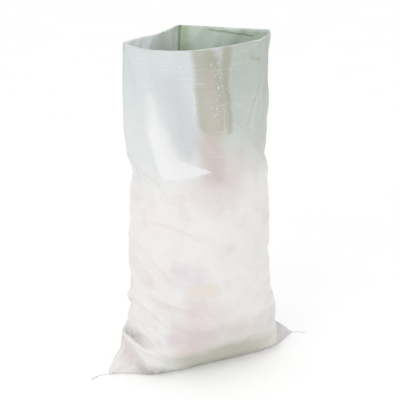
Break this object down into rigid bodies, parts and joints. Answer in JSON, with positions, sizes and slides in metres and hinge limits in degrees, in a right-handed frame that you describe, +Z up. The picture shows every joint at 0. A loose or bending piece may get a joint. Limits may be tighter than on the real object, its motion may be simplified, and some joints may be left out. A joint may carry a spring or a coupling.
{
  "type": "rubble sack",
  "caption": "Woven polypropylene rubble sack standing upright, filled with broken brick and mortar, with its mouth open.",
  "frame": {"origin": "on the floor under the middle of the bottom seam", "axes": "+X along the bottom seam to the right ear, -Y to the front, +Z up"},
  "size_m": [0.6265, 0.3579, 0.852],
  "materials": {
    "woven_cloth": "white woven polypropylene tape, half translucent, with a soft gloss",
    "rubble_dust": "crushed brick and mortar, dusty",
    "brick": "fired clay, rough where it is broken, dusted with mortar",
    "mortar": "sandy lime mortar, matt",
    "concrete": "broken concrete with fine stones, matt",
    "sewing_thread": "off-white twisted polyester thread"
  },
  "bodies": {
    "root": {"sack": "woven_cloth", "rubble_core": "rubble_dust", "half_brick": "brick", "brick_bat": "brick", "brick_end": "brick", "split_brick": "brick", "mortar_lump": "mortar", "flat_mortar_lump": "mortar", "small_mortar_lump": "mortar", "render_lump": "mortar", "concrete_lump": "concrete", "seam_thread": "sewing_thread", "thread_end_left": "sewing_thread", "thread_end_right": "sewing_thread"}
  },
  "joints": []
}
